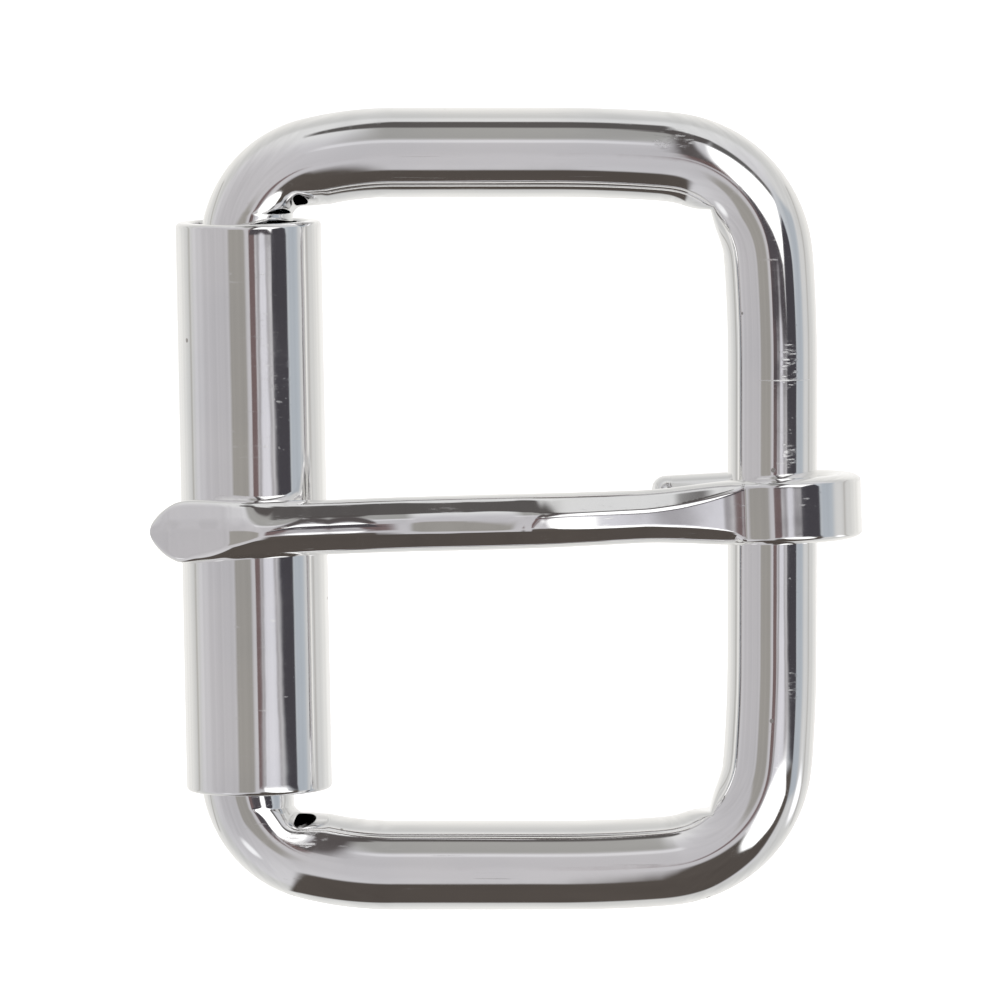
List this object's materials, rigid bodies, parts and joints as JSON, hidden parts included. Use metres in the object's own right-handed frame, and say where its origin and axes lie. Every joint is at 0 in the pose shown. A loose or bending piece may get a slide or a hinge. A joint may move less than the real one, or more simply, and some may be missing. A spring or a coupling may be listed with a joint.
{
  "type": "belt buckle",
  "caption": "Roller buckle for a 40 mm strap: bent round-wire frame, loose roller and a hinged tongue that rests on the roller.",
  "frame": {"origin": "on the axis of the heel bar (the bar that carries the tongue), at mid length", "axes": "+Y along the heel bar, -X towards the roller and the tongue's tip, +Z the face on which the tongue rests"},
  "size_m": [0.0456, 0.0514, 0.0137],
  "materials": {
    "frame_plating": "bright nickel plate on steel wire, polished",
    "roller_plating": "bright nickel plate on steel tube, polished",
    "tongue_plating": "bright nickel plate on formed steel, polished"
  },
  "bodies": {
    "frame": {"frame": "frame_plating"},
    "roller": {"roller": "roller_plating"},
    "tongue": {"tongue": "tongue_plating"}
  },
  "joints": [
    {"name": "tongue_hinge", "type": "hinge", "parent": "frame", "child": "tongue", "pos_m": [0, 0, 0], "axis": [0, 1, 0], "range_deg": [0, 337.5]},
    {"name": "roller_spin", "type": "hinge", "parent": "frame", "child": "roller", "pos_m": [-0.0332, 0, 0], "axis": [-0.0183, 0.9997, 0.0148], "continuous": true}
  ]
}
